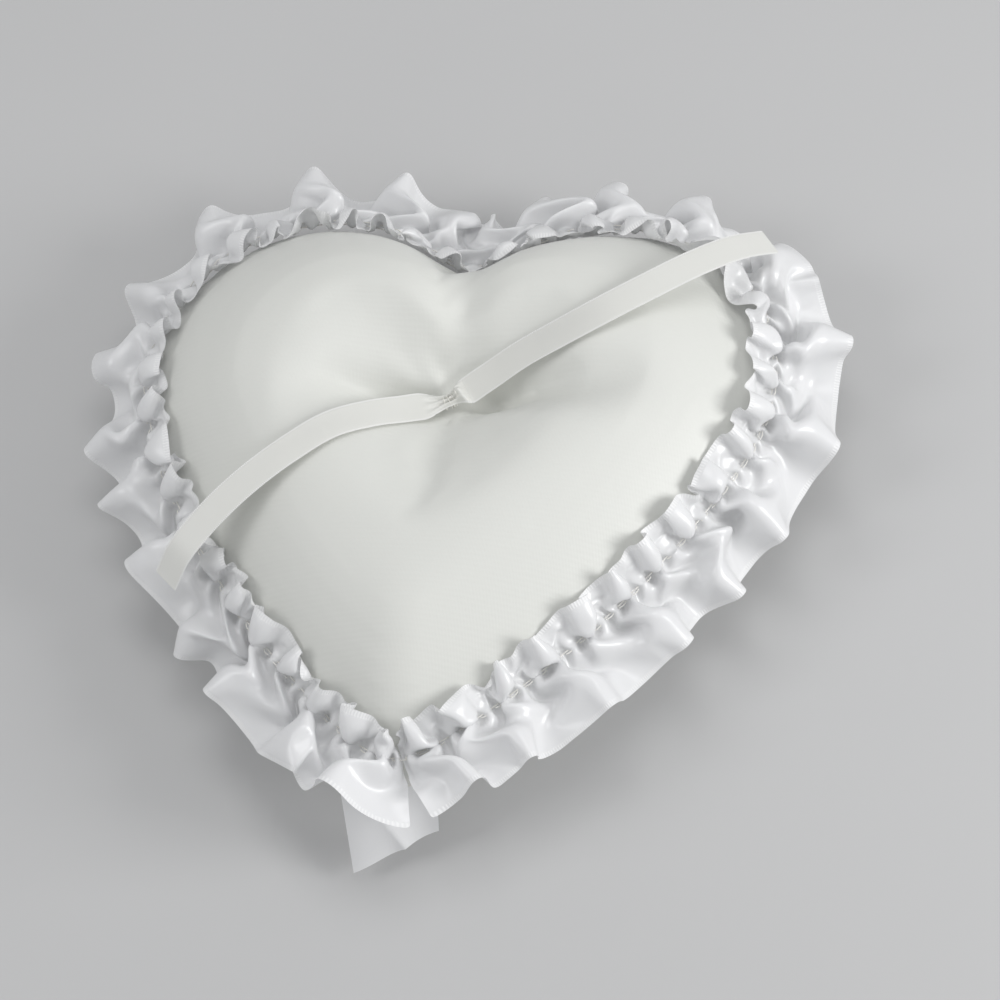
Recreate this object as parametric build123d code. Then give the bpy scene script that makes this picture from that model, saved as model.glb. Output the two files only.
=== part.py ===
from build123d import *

import os
from math import acos, atan2, cos, degrees, hypot, radians, sin, sqrt, tan


# Heart-shaped ring bearer pillow: a stuffed satin cushion with a gathered ribbon ruffle round
# the edge of its front, and a narrow ring ribbon tacked down at its middle.
# +Z is out of the front panel, +Y towards the two lobes and -Y towards the tip. The origin is
# under the middle of the ruffle, on the surface that the pillow lies on.

# Driving dimensions, in millimetres and degrees.
lobe_radius = 56.0
lobe_x = 49.5
lobe_y = 40.0
side_radius = 320.0
tip_radius = 14.0
tip_y = -96.0
cleft_radius = 28.0

fabric = 0.4
seam_z = 25.0
seam_allowance = 8.0
# Height of each panel over a heart scaled about the tuft, from the seam inwards.
front_profile = [
    (1.00, seam_z),
    (0.95, 31.0),
    (0.88, 38.5),
    (0.76, 47.5),
    (0.60, 54.5),
    (0.44, 56.0),
    (0.30, 53.0),
    (0.18, 46.5),
    (0.10, 43.0),
    (0.03, 41.5),
]
back_profile = [(1.00, seam_z), (0.95, 16.0), (0.86, 7.5), (0.74, 2.0), (0.66, 0.0)]

tuft_x = 3.0
tuft_y = 26.0
tuft_z = 43.9
recess_radius = 30.0
recess_depth = 5.0

gather_inset = 2.5
gather_z = 35.0
ruffle_thickness = 1.0
flounce_width = 25.0
flounce_drop = 15.0
heading_width = 12.0
heading_lean = 75.0
ruffle_join_x = 6.0
ruffle_join_gap = 0.8
loose_end_start = -136.0
loose_end_sweep = 62.0
loose_end_top = (5.0, 33.2)
loose_end_bottom = (9.5, 9.0)

ring_ribbon_width = 9.5
ring_ribbon_thickness = 0.4
centre_fold_length = 9.0
centre_fold_thickness = 0.8
tail_root = 5.0
tail_clearance = 1.1
upper_tail_angle = 32.7
lower_tail_angle = 216.3
tail_past_seam = 7.0
# Distances from the tuft where a tail's underside is set over the crown.
tail_crown_steps = (9, 14, 20, 28, 38, 50)
# A tail turns down this far past the heading's top, drops by this, and ends this far over the gather.
tail_bend = 5.5
tail_bend_drop = 1.5
tail_end_rise = 3.5

thread_radius = 0.2
tuft_thread_radius = 0.4
knot_radius = 1.5
thread_opening = 3.0
gathering_knot_radius = 0.45
knot_inset = 0.95
knot_rise = 0.75
thread_gap = 0.1
seam_thread_inset = 1.4
back_knot_gap = 0.05

tack_length = 4.0
tack_pitch = 1.8
tack_leg_depth = 5.0
ruffle_stitch_length = 2.6
ruffle_stitch_pitch = 5.0
ruffle_stitch_out = 1.4
ruffle_stitch_rise = 0.25
closing_stitch_length = 2.2
closing_stitch_pitch = 4.0
# The turning gap's start and end, as shares of the way round from the cleft.
closing_span = (0.30, 0.39)

# Places worked out from the driving dimensions.
cleft_y = lobe_y + sqrt((lobe_radius + cleft_radius) ** 2 - lobe_x**2)
tip_centre_y = tip_y + tip_radius


def side_tangent_angle():
    """Direction, from the right lobe's centre, of the point where the side arc leaves the lobe."""
    across, up = lobe_x, lobe_y - tip_centre_y
    span = hypot(across, up)
    lobe_gap = side_radius - lobe_radius
    tip_gap = side_radius - tip_radius
    share = (span**2 + lobe_gap**2 - tip_gap**2) / (2 * lobe_gap * span)
    return degrees(atan2(up, across) - acos(share))


side_start = side_tangent_angle()
side_x = lobe_x - (side_radius - lobe_radius) * cos(radians(side_start))
side_y = lobe_y - (side_radius - lobe_radius) * sin(radians(side_start))
side_end = degrees(atan2(tip_centre_y - side_y, -side_x))
cleft_end = degrees(atan2(lobe_y - cleft_y, lobe_x))


def heart_arcs():
    """The outline's arcs, clockwise from the cleft: centre, radius, start, end and outward sign."""
    return [
        (0.0, cleft_y, cleft_radius, -180 - cleft_end, cleft_end, -1),
        (lobe_x, lobe_y, lobe_radius, 180 + cleft_end, side_start, 1),
        (side_x, side_y, side_radius, side_start, side_end, 1),
        (0.0, tip_centre_y, tip_radius, side_end, -180 - side_end, 1),
        (-side_x, side_y, side_radius, -180 - side_end, -180 - side_start, 1),
        (-lobe_x, lobe_y, lobe_radius, -180 - side_start, -360 - cleft_end, 1),
    ]


def polar(x, y, radius, angle, z=0.0):
    return (x + radius * cos(radians(angle)), y + radius * sin(radians(angle)), z)


def scaled_heart(scale, z):
    """The heart outline as a wire, scaled about the tuft."""
    edges = []
    for x, y, radius, start, end, _ in heart_arcs():
        cx = tuft_x + (x - tuft_x) * scale
        cy = tuft_y + (y - tuft_y) * scale
        ends = [polar(cx, cy, radius * scale, a, z) for a in (start, (start + end) / 2, end)]
        edges.append(ThreePointArc(*ends))
    return Wire(edges)


def dome(profile, inset=0.0):
    """A closed solid over the profile's stacked hearts, thinner by inset on its curved side."""
    towards_seam = 1 if profile[-1][1] < seam_z else -1
    mean_reach = 80.0
    wires = []
    for scale, z in profile:
        level = z if scale == 1.0 else z + towards_seam * inset
        wires.append(scaled_heart(scale - inset / mean_reach, level))
    return Solid.make_loft(wires)


def band(section, outwards=0.0):
    """Sweeps a section, drawn as points or a circle (offset, z, radius), round the heart."""
    pieces = []
    for x, y, radius, start, end, sign in heart_arcs():
        first = min(start, end)
        plane = turned_plane(x, y, first)
        if isinstance(section, tuple):
            offset, z, thickness = section
            face = plane * Pos(radius + sign * (offset + outwards), z) * Circle(thickness)
        else:
            corners = [(radius + sign * (d + outwards), z) for d, z in section]
            face = plane * make_face(Polyline(*corners, close=True))
        pieces.append(revolve(face, Axis((x, y, 0), (0, 0, 1)), abs(end - start)))
    return pieces[0].fuse(*pieces[1:])


def along_heart(offset, spacing, first=0.0, last=1.0):
    """Points spaced along the offset outline, each with its direction, from the cleft clockwise."""
    stretches = []
    for x, y, radius, start, end, sign in heart_arcs():
        r = radius + sign * offset
        stretches.append((x, y, r, start, end, radians(abs(end - start)) * r))
    total = sum(s[5] for s in stretches)
    count = int((last - first) * total / spacing)
    found = []
    for i in range(count):
        at = (first + (last - first) * (i + 0.5) / count) * total
        for x, y, r, start, end, length in stretches:
            if at <= length:
                turn = 1 if end > start else -1
                angle = start + turn * degrees(at / r)
                px, py, _ = polar(x, y, r, angle)
                found.append((px, py, angle + turn * 90))
                break
            at -= length
    return found


def stitch(x, y, z, direction, length, radius=thread_radius):
    """One straight stitch with round ends, lying along a direction."""
    along = Location((x, y, z), (0, 0, direction)) * Rot(0, 90, 0)
    bar = along * Cylinder(radius, length)
    ends = [along * Pos(0, 0, side * length / 2) * Sphere(radius) for side in (-1, 1)]
    return bar.fuse(*ends)


def outline_reach(direction):
    """Distance from the tuft to the seam outline along a direction in degrees."""
    across, up = cos(radians(direction)), sin(radians(direction))
    for x, y, radius, start, end, _ in heart_arcs():
        dx, dy = x - tuft_x, y - tuft_y
        nearest = dx * across + dy * up
        spare = radius**2 - dx**2 - dy**2 + nearest**2
        if spare < 0:
            continue
        low, high = sorted((start, end))
        for reach in (nearest - sqrt(spare), nearest + sqrt(spare)):
            angle = degrees(atan2(reach * up - dy, reach * across - dx))
            if reach > 0 and (angle - low) % 360 <= high - low:
                return reach
    raise ValueError("the outline does not close round the tuft")


def crown_height(forward, sideways, direction):
    """The front panel's height at a place measured from the tuft along and across a direction."""
    turned = degrees(atan2(sideways, forward))
    scale = hypot(forward, sideways) / outline_reach(direction + turned)
    for (outer, low), (inner, high) in zip(front_profile, front_profile[1:]):
        if inner <= scale <= outer:
            return high + (low - high) * (scale - inner) / (outer - inner)
    return front_profile[-1][1] if scale < front_profile[-1][0] else seam_z


def back_recess(inset):
    """The ball whose cap is the dimple that the tuft pulls into the back panel."""
    return Pos(tuft_x, tuft_y, recess_depth - recess_radius) * Sphere(recess_radius + inset)


def cavity(profile):
    """The space inside a panel: its dome thinned by the fabric, less the turned-in allowance."""
    low, high = seam_z - fabric, seam_z + fabric
    turned_in = band([(-seam_allowance, low), (1, low), (1, high), (-seam_allowance, high)])
    return dome(profile, fabric) - turned_in


def perimeter_seam_thread():
    return band((-seam_thread_inset, seam_z, thread_radius))


def tuft_thread():
    height = tuft_z + centre_fold_thickness - knot_radius
    return Pos(tuft_x, tuft_y, knot_radius + height / 2) * Cylinder(tuft_thread_radius, height)


def centre_tack_stitches():
    """Three staple-shaped tacks across the ribbon's fold, with their legs down in the filling."""
    top = tuft_z + centre_fold_thickness
    turned = Location((tuft_x, tuft_y, 0), (0, 0, upper_tail_angle + 90))
    tacks = []
    for step in (-1, 0, 1):
        side = step * tack_pitch
        bar = Pos(0, side, top + thread_radius) * Rot(0, 90, 0) * Cylinder(thread_radius, tack_length)
        legs = []
        for end in (-1, 1):
            leg = Cylinder(thread_radius, tack_leg_depth, align=(Align.CENTER, Align.CENTER, Align.MAX))
            legs.append(Pos(end * tack_length / 2, side, top + thread_radius) * leg)
            legs.append(Pos(end * tack_length / 2, side, top + thread_radius) * Sphere(thread_radius))
        tacks.append(turned * bar.fuse(*legs))
    return Compound(children=tacks)


def front_panel():
    return dome(front_profile) - cavity(front_profile)


def back_cavity():
    return cavity(back_profile) - back_recess(fabric)


def back_panel():
    return dome(back_profile) - back_recess(0) - back_cavity()


def fibre_filling():
    return cavity(front_profile).fuse(back_cavity())


def ruffle_section():
    """The ribbon across the gather line: heading edge, gather line, flounce edge, and back."""
    heading = (
        -gather_inset - heading_width * cos(radians(heading_lean)),
        gather_z + heading_width * sin(radians(heading_lean)),
    )
    flounce = (
        -gather_inset + flounce_width * cos(radians(flounce_drop)),
        gather_z - flounce_width * sin(radians(flounce_drop)),
    )
    rise = ruffle_thickness
    return [
        (-gather_inset, gather_z),
        flounce,
        (flounce[0], flounce[1] + rise),
        (-gather_inset + rise, gather_z + rise),
        (heading[0] + rise, heading[1]),
        heading,
    ]


def turned_plane(x, y, angle):
    """An upright plane through a vertical axis, its first direction at the angle."""
    across = (cos(radians(angle)), sin(radians(angle)), 0)
    return Plane(origin=(x, y, 0), x_dir=across, z_dir=(across[1], -across[0], 0))


def loose_end():
    """The ribbon's cut end, hanging from under the flounce and curving round the tip."""
    top, bottom = loose_end_top, loose_end_bottom
    corners = [top, (top[0] + ruffle_thickness, top[1]), (bottom[0] + ruffle_thickness, bottom[1]), bottom]
    plane = turned_plane(0, tip_centre_y, loose_end_start)
    face = plane * make_face(Polyline(*[(tip_radius + d, z) for d, z in corners], close=True))
    return revolve(face, Axis((0, tip_centre_y, 0), (0, 0, 1)), loose_end_sweep)


def ruffle_ribbon():
    """The gathered ribbon, open near the tip, where its loose end hangs under the flounce."""
    reach = flounce_width + heading_width
    slit = Pos(ruffle_join_x, tip_y, gather_z) * Box(ruffle_join_gap, 2 * reach, 2 * reach)
    return (band(ruffle_section()) - slit).fuse(loose_end())


def groove_ring(radius):
    """A thread lying in the groove between the heading and the flounce."""
    offset = -gather_inset + ruffle_thickness + radius + thread_gap
    return band((offset, gather_z + ruffle_thickness + radius, radius))


def gathering_thread():
    ring = groove_ring(thread_radius)
    opening = Pos(ruffle_join_x, tip_y, gather_z) * Box(thread_opening, 30, 30)
    return ring - opening


def gathering_knots():
    """The knots at the two ends of the gathering thread."""
    radius = tip_radius - knot_inset
    knots = []
    for side in (-1, 1):
        x = ruffle_join_x + side * (thread_opening / 2 - gathering_knot_radius)
        y = tip_centre_y - sqrt(radius**2 - x**2)
        knots.append(Pos(x, y, gather_z + ruffle_thickness + knot_rise) * Sphere(gathering_knot_radius))
    return Compound(children=knots)


def ruffle_stitches():
    """The stitches that hold the ruffle to the front panel, a row just outside the gather line."""
    offset = -gather_inset + ruffle_thickness + ruffle_stitch_out
    slope = tan(radians(flounce_drop))
    z = gather_z + ruffle_thickness + ruffle_stitch_rise - ruffle_stitch_out * slope
    spots = along_heart(offset, ruffle_stitch_pitch)
    rows = [stitch(x, y, z, a, ruffle_stitch_length) for x, y, a in spots]
    return Compound(children=rows)


def closing_stitches():
    """The hand stitches that close the turning gap, low on the right side of the seam."""
    spots = along_heart(thread_radius + thread_gap, closing_stitch_pitch, *closing_span)
    rows = [stitch(x, y, seam_z, a, closing_stitch_length) for x, y, a in spots]
    return Compound(children=rows)


def ring_ribbon_centre():
    lift = tuft_z + centre_fold_thickness / 2
    at = Location((tuft_x, tuft_y, lift), (0, 0, upper_tail_angle))
    return at * Box(centre_fold_length, ring_ribbon_width, centre_fold_thickness)


def tail_underside(direction):
    """The tail's underside as (distance from the tuft, height), over the crown and the heading."""
    half = ring_ribbon_width / 2
    reach = outline_reach(direction)
    points = []
    for r in (tail_root, *tail_crown_steps):
        crown = max(crown_height(r, side, direction) for side in (-half, 0, half))
        points.append((r, crown + tail_clearance))
    heading_top = gather_z + heading_width * sin(radians(heading_lean))
    heading_r = reach - gather_inset - heading_width * cos(radians(heading_lean))
    points.append((heading_r, heading_top + tail_clearance))
    points.append((heading_r + tail_bend, heading_top - tail_bend_drop))
    points.append((reach + tail_past_seam, gather_z + tail_end_rise))
    return points


def ring_ribbon_tail(direction):
    low = tail_underside(direction)
    high = [(r, z + ring_ribbon_thickness) for r, z in low]
    outline = Spline(*low) + Line(low[-1], high[-1]) + Spline(*high) + Line(high[0], low[0])
    upright = turned_plane(tuft_x, tuft_y, direction)
    return extrude(upright * make_face(outline), ring_ribbon_width / 2, both=True)


def back_knot():
    return Pos(tuft_x, tuft_y, recess_depth - knot_radius - back_knot_gap) * Sphere(knot_radius)


def main():
    os.makedirs("parts", exist_ok=True)
    seam = perimeter_seam_thread()
    thread = tuft_thread()
    tacks = centre_tack_stitches()
    through = [thread, *tacks.solids()]
    parts = {
        "front_panel": front_panel() - [seam, *through],
        "back_panel": back_panel() - [seam, thread],
        "fibre_filling": fibre_filling() - through,
        "perimeter_seam_thread": seam,
        "closing_stitches": closing_stitches(),
        "ruffle_ribbon": ruffle_ribbon(),
        "gathering_thread": gathering_thread(),
        "gathering_knots": gathering_knots(),
        "ruffle_stitches": ruffle_stitches(),
        "ring_ribbon_centre": ring_ribbon_centre() - through,
        "ring_ribbon_upper_tail": ring_ribbon_tail(upper_tail_angle),
        "ring_ribbon_lower_tail": ring_ribbon_tail(lower_tail_angle),
        "centre_tack_stitches": tacks,
        "tuft_thread": thread,
        "back_knot": back_knot() - [thread],
    }
    for name, shape in parts.items():
        export_step(shape, f"parts/{name}.step")


main()
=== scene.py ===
import math

import bmesh
import bpy
import numpy as np
from mathutils import Matrix, Vector
from mathutils.bvhtree import BVHTree


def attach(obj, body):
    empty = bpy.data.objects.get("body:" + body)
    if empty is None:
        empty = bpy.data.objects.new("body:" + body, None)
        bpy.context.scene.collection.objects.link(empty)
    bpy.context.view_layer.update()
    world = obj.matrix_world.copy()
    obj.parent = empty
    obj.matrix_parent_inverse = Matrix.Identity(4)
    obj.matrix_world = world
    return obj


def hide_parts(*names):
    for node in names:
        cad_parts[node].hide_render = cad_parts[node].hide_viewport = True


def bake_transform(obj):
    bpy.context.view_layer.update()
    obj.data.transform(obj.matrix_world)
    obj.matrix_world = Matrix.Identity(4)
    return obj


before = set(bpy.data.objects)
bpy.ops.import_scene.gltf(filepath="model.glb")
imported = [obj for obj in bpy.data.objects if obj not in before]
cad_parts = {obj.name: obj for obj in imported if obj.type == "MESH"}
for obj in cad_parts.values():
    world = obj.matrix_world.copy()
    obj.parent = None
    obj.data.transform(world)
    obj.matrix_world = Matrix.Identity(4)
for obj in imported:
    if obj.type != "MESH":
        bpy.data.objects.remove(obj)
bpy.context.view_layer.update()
print("frame loaded")

# The heart's outline at the seam, in metres: arcs round two lobes, two sides, the tip and the cleft.
heart = {
    "lobeRadius": 0.056,
    "lobeX": 0.0495,
    "lobeY": 0.040,
    "sideRadius": 0.320,
    "tipRadius": 0.014,
    "tipY": -0.096,
    "cleftRadius": 0.028,
    "tuft": (0.003, 0.026),
    "seamHeight": 0.025,
}


def heartArcs():
    # centre x, centre y, radius, start and end in radians, and 1 where the heart is inside the arc
    lobe, side, tip = heart["lobeRadius"], heart["sideRadius"], heart["tipRadius"]
    lobeX, lobeY = heart["lobeX"], heart["lobeY"]
    cleftY = lobeY + math.sqrt((lobe + heart["cleftRadius"]) ** 2 - lobeX ** 2)
    tipY = heart["tipY"] + tip
    span = math.hypot(lobeX, lobeY - tipY)
    share = (span ** 2 + (side - lobe) ** 2 - (side - tip) ** 2) / (2 * (side - lobe) * span)
    sideStart = math.atan2(lobeY - tipY, lobeX) - math.acos(share)
    sideX = lobeX - (side - lobe) * math.cos(sideStart)
    sideY = lobeY - (side - lobe) * math.sin(sideStart)
    sideEnd = math.atan2(tipY - sideY, -sideX)
    cleftEnd = math.atan2(lobeY - cleftY, lobeX)
    half = math.pi
    return [
        (0, cleftY, heart["cleftRadius"], -half / 2, cleftEnd, -1),
        (lobeX, lobeY, lobe, half + cleftEnd, sideStart, 1),
        (sideX, sideY, side, sideStart, sideEnd, 1),
        (0, tipY, tip, sideEnd, -half - sideEnd, 1),
        (-sideX, sideY, side, -half - sideEnd, -half - sideStart, 1),
        (-lobeX, lobeY, lobe, -half - sideStart, -2 * half - cleftEnd, 1),
        (0, cleftY, heart["cleftRadius"], -half - cleftEnd, -half / 2, -1),
    ]


class HeartPath:
    # The seam outline by fraction of its length, clockwise from the cleft.
    def __init__(self, perArc=400):
        points, outward = [], []
        for x, y, radius, start, end, sign in heartArcs():
            angle = np.linspace(start, end, perArc)
            ray = np.stack([np.cos(angle), np.sin(angle)], 1)
            points.append(np.array([x, y]) + radius * ray)
            outward.append(sign * ray)
        self.points = np.concatenate(points)
        self.outward = np.concatenate(outward)
        steps = np.hypot(*np.diff(self.points, axis=0).T)
        along = np.concatenate([[0], np.cumsum(steps)])
        self.length = along[-1]
        self.fraction = along / self.length

    def at(self, fraction):
        f = np.mod(fraction, 1.0)
        point = [np.interp(f, self.fraction, self.points[:, i]) for i in (0, 1)]
        ray = np.stack([np.interp(f, self.fraction, self.outward[:, i]) for i in (0, 1)], -1)
        ray /= np.linalg.norm(ray, axis=-1, keepdims=True)
        return np.stack(point, -1), ray

    def lengthAt(self, offset):
        line = self.points + offset * self.outward
        return float(np.hypot(*np.diff(line, axis=0).T).sum())


outline = HeartPath()


def smoothBetween(stops, x):
    # a smooth curve through (place, value) stops, with no overshoot
    xs = np.array([s[0] for s in stops], float)
    ys = np.array([s[1] for s in stops], float)
    slope = np.diff(ys) / np.diff(xs)
    bend = np.zeros(len(xs))
    same = slope[1:] * slope[:-1] > 0
    bend[1:-1][same] = 2 * (slope[1:] * slope[:-1])[same] / (slope[1:] + slope[:-1])[same]
    bend[0], bend[-1] = slope[0], slope[-1]
    i = np.clip(np.searchsorted(xs, x) - 1, 0, len(slope) - 1)
    width = xs[i + 1] - xs[i]
    t = np.clip((x - xs[i]) / width, 0, 1)
    low = (1 + 2 * t) * (1 - t) ** 2 * ys[i] + t * (1 - t) ** 2 * width * bend[i]
    high = t * t * (3 - 2 * t) * ys[i + 1] + t * t * (t - 1) * width * bend[i + 1]
    return low + high


def ease(x, low, high):
    t = np.clip((x - low) / (high - low), 0, 1)
    return t * t * (3 - 2 * t)


def gridMesh(name, points, closed=False):
    # a sheet of quads from an array of rows of points
    rows, columns = points.shape[:2]
    mesh = bpy.data.meshes.new(name)
    last = columns if closed else columns - 1
    faces = []
    for r in range(rows - 1):
        for c in range(last):
            d = (c + 1) % columns
            faces.append((r * columns + c, r * columns + d, (r + 1) * columns + d, (r + 1) * columns + c))
    mesh.from_pydata(points.reshape(-1, 3).tolist(), [], faces)
    mesh.polygons.foreach_set("use_smooth", [True] * len(faces))
    return mesh


def gridUv(mesh, across, along, columns):
    # the sheet's own flat measure in metres, so that a weave follows the cloth
    layer = mesh.uv_layers.new(name="cloth")
    flat = np.empty(len(mesh.loops), int)
    mesh.loops.foreach_get("vertex_index", flat)
    uv = np.stack([along[flat % columns], across[flat // columns]], -1)
    layer.data.foreach_set("uv", uv.astype(np.float32).ravel())


def addPiece(name, mesh):
    piece = bpy.data.objects.new(name, mesh)
    bpy.context.scene.collection.objects.link(piece)
    return piece


def pointsOf(piece):
    co = np.empty(len(piece.data.vertices) * 3, np.float32)
    piece.data.vertices.foreach_get("co", co)
    return co.reshape(-1, 3).astype(float)


def setPoints(piece, points):
    piece.data.vertices.foreach_set("co", points.astype(np.float32).ravel())
    piece.data.update()


def applyModifiers(piece):
    graph = bpy.context.evaluated_depsgraph_get()
    worn = piece.evaluated_get(graph)
    solid = bpy.data.meshes.new_from_object(worn, preserve_all_data_layers=True, depsgraph=graph)
    piece.modifiers.clear()
    old = piece.data
    piece.data = solid
    bpy.data.meshes.remove(old)


def smoothShade(piece):
    piece.data.polygons.foreach_set("use_smooth", [True] * len(piece.data.polygons))


# Finishes


class Wire:
    # One socket of a finish. Adding to it or multiplying it makes a Math node.
    def __init__(self, finish, socket):
        self.finish = finish
        self.socket = socket

    def __add__(self, other):
        return self.finish.add("ShaderNodeMath", {"operation": "ADD"}, {0: self, 1: other})

    def __mul__(self, other):
        return self.finish.add("ShaderNodeMath", {"operation": "MULTIPLY"}, {0: self, 1: other})


class Finish:
    def __init__(self, name):
        self.material = bpy.data.materials.new(name)
        self.material.use_nodes = True
        self.tree = self.material.node_tree
        self.tree.nodes.clear()

    def add(self, kind, settings=None, inputs=None, output=0):
        node = self.tree.nodes.new(kind)
        for key, value in (settings or {}).items():
            setattr(node, key, value)
        for key, value in (inputs or {}).items():
            if isinstance(value, Wire):
                self.tree.links.new(value.socket, node.inputs[key])
            else:
                node.inputs[key].default_value = value
        return Wire(self, node.outputs[output]) if len(node.outputs) else None

    def part(self, vector, axis):
        return self.add("ShaderNodeSeparateXYZ", None, {0: vector}, axis)

    def mixColour(self, factor, first, second):
        node = {"data_type": "RGBA", "clamp_factor": True}
        return self.add("ShaderNodeMix", node, {0: factor, 6: first, 7: second}, 2)

    def noise(self, vector, scale, detail=2.0, roughness=0.5):
        inputs = {"Vector": vector, "Scale": scale, "Detail": detail, "Roughness": roughness}
        return self.add("ShaderNodeTexNoise", None, inputs, 0)

    def bump(self, height, distance, strength=1.0):
        inputs = {"Height": height, "Distance": distance, "Strength": strength}
        return self.add("ShaderNodeBump", None, inputs)

    def close(self, settings, through=0.0, throughColour=(1, 1, 1, 1)):
        # through is the share of light that comes through thin cloth from its far side
        shader = self.add("ShaderNodeBsdfPrincipled", None, settings)
        if through > 0:
            far = self.add("ShaderNodeBsdfTranslucent", None, {"Color": throughColour})
            shader = self.add("ShaderNodeMixShader", None, {0: through, 1: shader, 2: far})
        self.add("ShaderNodeOutputMaterial", None, {"Surface": shader})
        return self.material


cushionSatin = {
    "colour": (0.705, 0.710, 0.672, 1),
    "shade": (0.668, 0.675, 0.642, 1),
    "roughness": 0.46,
    "threadPitch": 0.0004,
}


def makeCushionSatin():
    f = Finish("cushionSatin")
    place = f.add("ShaderNodeTexCoord", None, None, 3)
    broad = f.noise(place, 26.0, 3.0)
    fine = f.noise(place, 900.0, 2.0, 0.6)
    colour = f.mixColour(broad * 0.7 + fine * 0.3, cushionSatin["shade"], cushionSatin["colour"])
    turns = 2 * math.pi / cushionSatin["threadPitch"]
    warp = f.add("ShaderNodeMath", {"operation": "SINE"}, {0: f.part(place, 0) * turns})
    weft = f.add("ShaderNodeMath", {"operation": "SINE"}, {0: f.part(place, 1) * (turns * 0.25)})
    weave = warp * 0.5 + weft * 0.5 + fine * 1.5
    return f.close({
        "Base Color": colour,
        "Roughness": broad * 0.10 + (cushionSatin["roughness"] - 0.05),
        "Normal": f.bump(weave, 0.00002, 0.6),
        "Specular IOR Level": 0.45,
        "Sheen Weight": 0.25,
        "Sheen Roughness": 0.45,
    })


ruffleSatin = {
    "colour": (0.880, 0.882, 0.888, 1),
    "shade": (0.850, 0.853, 0.860, 1),
    "roughness": 0.30,
    "specular": 0.7,
    "coat": 0.14,
    "through": 0.22,
    "ribPitch": 0.00085,
    "selvage": 0.0020,
    "width": 0.038,
}


def makeRibbonSatin(name, look):
    f = Finish(name)
    flat = f.add("ShaderNodeUVMap", {"uv_map": "cloth"})
    along, across = f.part(flat, 0), f.part(flat, 1)
    broad = f.noise(flat, 60.0, 3.0)
    streak = f.add("ShaderNodeCombineXYZ", None, {0: along * 90.0, 1: across * 2600.0})
    thread = f.noise(streak, 1.0, 2.0, 0.6)
    toEdge = f.add("ShaderNodeMath", {"operation": "PINGPONG"}, {0: across, 1: look["width"] / 2})
    edge = f.add("ShaderNodeMapRange", {"interpolation_type": "SMOOTHSTEP"},
                 {0: toEdge, 1: look["selvage"], 2: look["selvage"] * 0.7, 3: 0.0, 4: 1.0})
    rib = f.add("ShaderNodeMath", {"operation": "SINE"}, {0: along * (2 * math.pi / look["ribPitch"])})
    colour = f.mixColour(broad * 0.8 + thread * 0.2, look["shade"], look["colour"])
    colour = f.mixColour(edge * (rib * 0.45 + 0.45), colour, (0.97, 0.97, 0.97, 1))
    height = thread * 0.10 + edge * (rib * 0.8 + 1.2)
    return f.close({
        "Base Color": colour,
        "Roughness": thread * 0.06 + edge * 0.22 + (look["roughness"] - 0.03),
        "Normal": f.bump(height, 0.00008, 0.7),
        "Specular IOR Level": look["specular"],
        "Coat Weight": look["coat"],
        "Coat Roughness": 0.18,
        "Sheen Weight": 0.15,
        "Sheen Roughness": 0.4,
    }, look["through"], look["colour"])


ringRibbonSatin = {
    "colour": (0.790, 0.790, 0.755, 1),
    "shade": (0.740, 0.742, 0.708, 1),
    "roughness": 0.40,
    "through": 0.15,
    "ribPitch": 0.0006,
    "selvage": 0.0007,
    "width": 0.010,
    "specular": 0.5,
    "coat": 0.12,
}


def makeThread():
    f = Finish("sewingThread")
    place = f.add("ShaderNodeTexCoord", None, None, 3)
    twist = f.noise(place, 2200.0, 2.0)
    colour = f.mixColour(twist, (0.72, 0.71, 0.66, 1), (0.86, 0.85, 0.81, 1))
    return f.close({
        "Base Color": colour,
        "Roughness": twist * 0.2 + 0.5,
        "Normal": f.bump(twist, 0.00005, 0.8),
    })


cushionCloth = makeCushionSatin()
ruffleCloth = makeRibbonSatin("ruffleSatin", ruffleSatin)
ringRibbonCloth = makeRibbonSatin("ringRibbonSatin", ringRibbonSatin)
threadFinish = makeThread()
print("finishes made")

# Cushion

cushion = {
    "front": [(0, 0.0405), (0.05, 0.0412), (0.10, 0.0428), (0.18, 0.0462), (0.30, 0.0524), (0.44, 0.0562),
              (0.60, 0.0550), (0.76, 0.0480), (0.88, 0.0390), (0.95, 0.0314), (0.985, 0.0273), (1, 0.0250)],
    "back": [(0, 0.0052), (0.05, 0.0045), (0.12, 0.0012), (0.20, 0.0), (0.66, 0.0), (0.74, 0.0018),
             (0.86, 0.0075), (0.95, 0.0160), (1, 0.0250)],
    "round": 180,
    "rings": 40,
    # folds from the tuft: direction in degrees, depth, reach and width in metres
    "folds": [(184, 0.0062, 0.048, 0.0068), (3, 0.0058, 0.066, 0.0080), (88, 0.0040, 0.048, 0.0095)],
    "voxel": 0.0032,
    "pressure": 3.0,
    "frames": 18,
    "cap": 0.002,
    "tuftHold": 0.007,
    "stretch": 12.0,
    "bending": 0.3,
    "frontFrom": (0.030, 0.036),  # heights between which the tuft's folds fade in
    "tuftSink": 0.0022,
    "tuftRipple": 0.0007,
    "groove": 0.0011,
    "grooveWidth": 0.0016,
    "pucker": 0.00035,
    "puckerWidth": 0.0060,
}


def foldDepth(x, y, folds):
    tx, ty = heart["tuft"]
    dx, dy = x - tx, y - ty
    depth = np.zeros_like(dx)
    for direction, deep, reach, width in folds:
        a = math.radians(direction)
        forward = dx * math.cos(a) + dy * math.sin(a)
        sideways = -dx * math.sin(a) + dy * math.cos(a)
        spread = width * (0.45 + np.clip(forward, 0, None) / reach)
        fade = ease(forward, 0.0, 0.012) * (1 - ease(forward, 0.35 * reach, 1.15 * reach))
        depth += deep * fade * np.exp(-((sideways / spread) ** 2))
    return depth


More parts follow.
